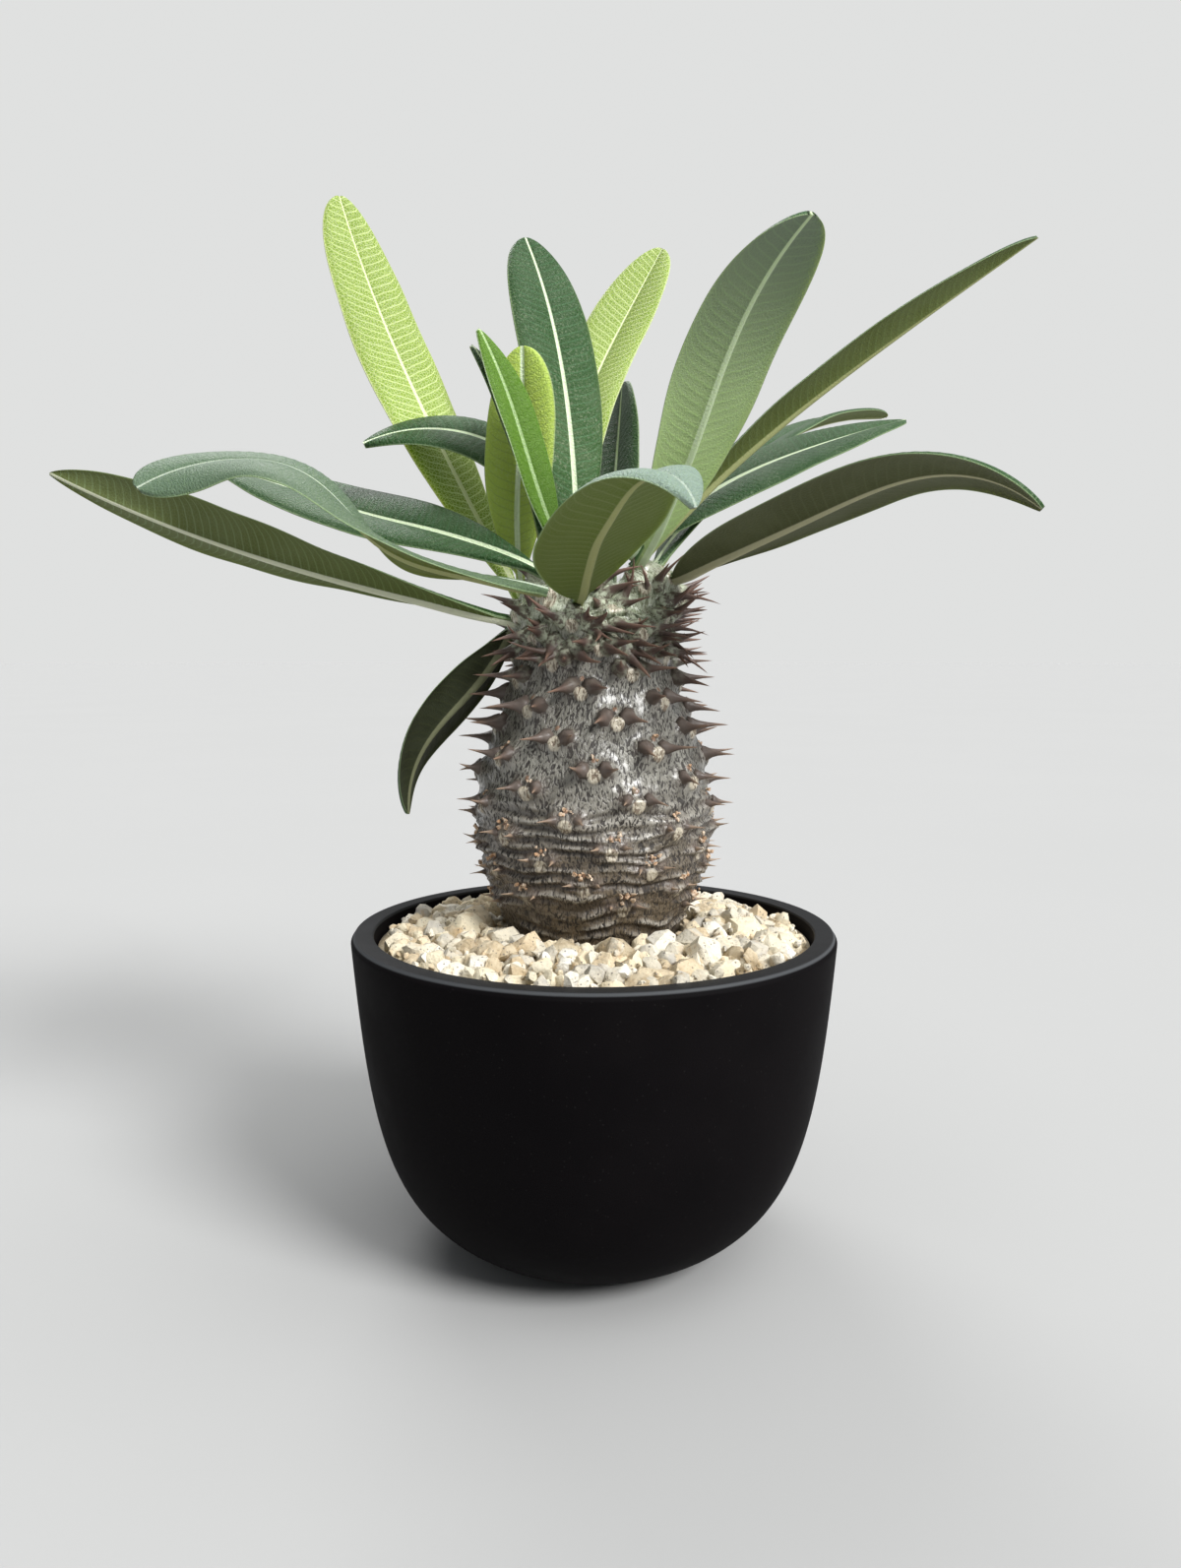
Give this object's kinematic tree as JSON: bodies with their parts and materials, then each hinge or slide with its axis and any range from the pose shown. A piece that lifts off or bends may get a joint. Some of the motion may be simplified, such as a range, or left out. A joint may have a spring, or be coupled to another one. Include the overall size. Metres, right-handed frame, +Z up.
{
  "type": "potted caudex plant",
  "caption": "Swollen spiny caudex plant with a crown of long leaves, standing in a matte black bowl-shaped pot topped with pale gravel.",
  "frame": {"origin": "middle of the pot's flat foot, on the surface the pot stands on", "axes": "+Z up along the pot's and the trunk's axis; the side that the source picture shows faces -Y, with +X to its right"},
  "size_m": [0.2201, 0.1506, 0.2466],
  "materials": {
    "pot_glaze": "matte black, faintly speckled",
    "drain_mesh": "matte",
    "soil": "loose dark soil",
    "gravel": "dry angular pumice",
    "bark": "silvery grey bark with brown spines",
    "leaf": "dark green, waxy, with a pale midrib"
  },
  "bodies": {
    "root": {"pot": "pot_glaze", "drain_mesh": "drain_mesh", "soil": "soil", "gravel": "gravel", "caudex": "bark", "leaf_01": "leaf", "leaf_02": "leaf", "leaf_03": "leaf", "leaf_04": "leaf", "leaf_05": "leaf", "leaf_06": "leaf", "leaf_07": "leaf", "leaf_08": "leaf", "leaf_09": "leaf", "leaf_10": "leaf", "leaf_11": "leaf", "leaf_12": "leaf", "leaf_13": "leaf", "leaf_14": "leaf", "leaf_15": "leaf", "leaf_16": "leaf", "leaf_17": "leaf", "leaf_18": "leaf"}
  },
  "joints": []
}
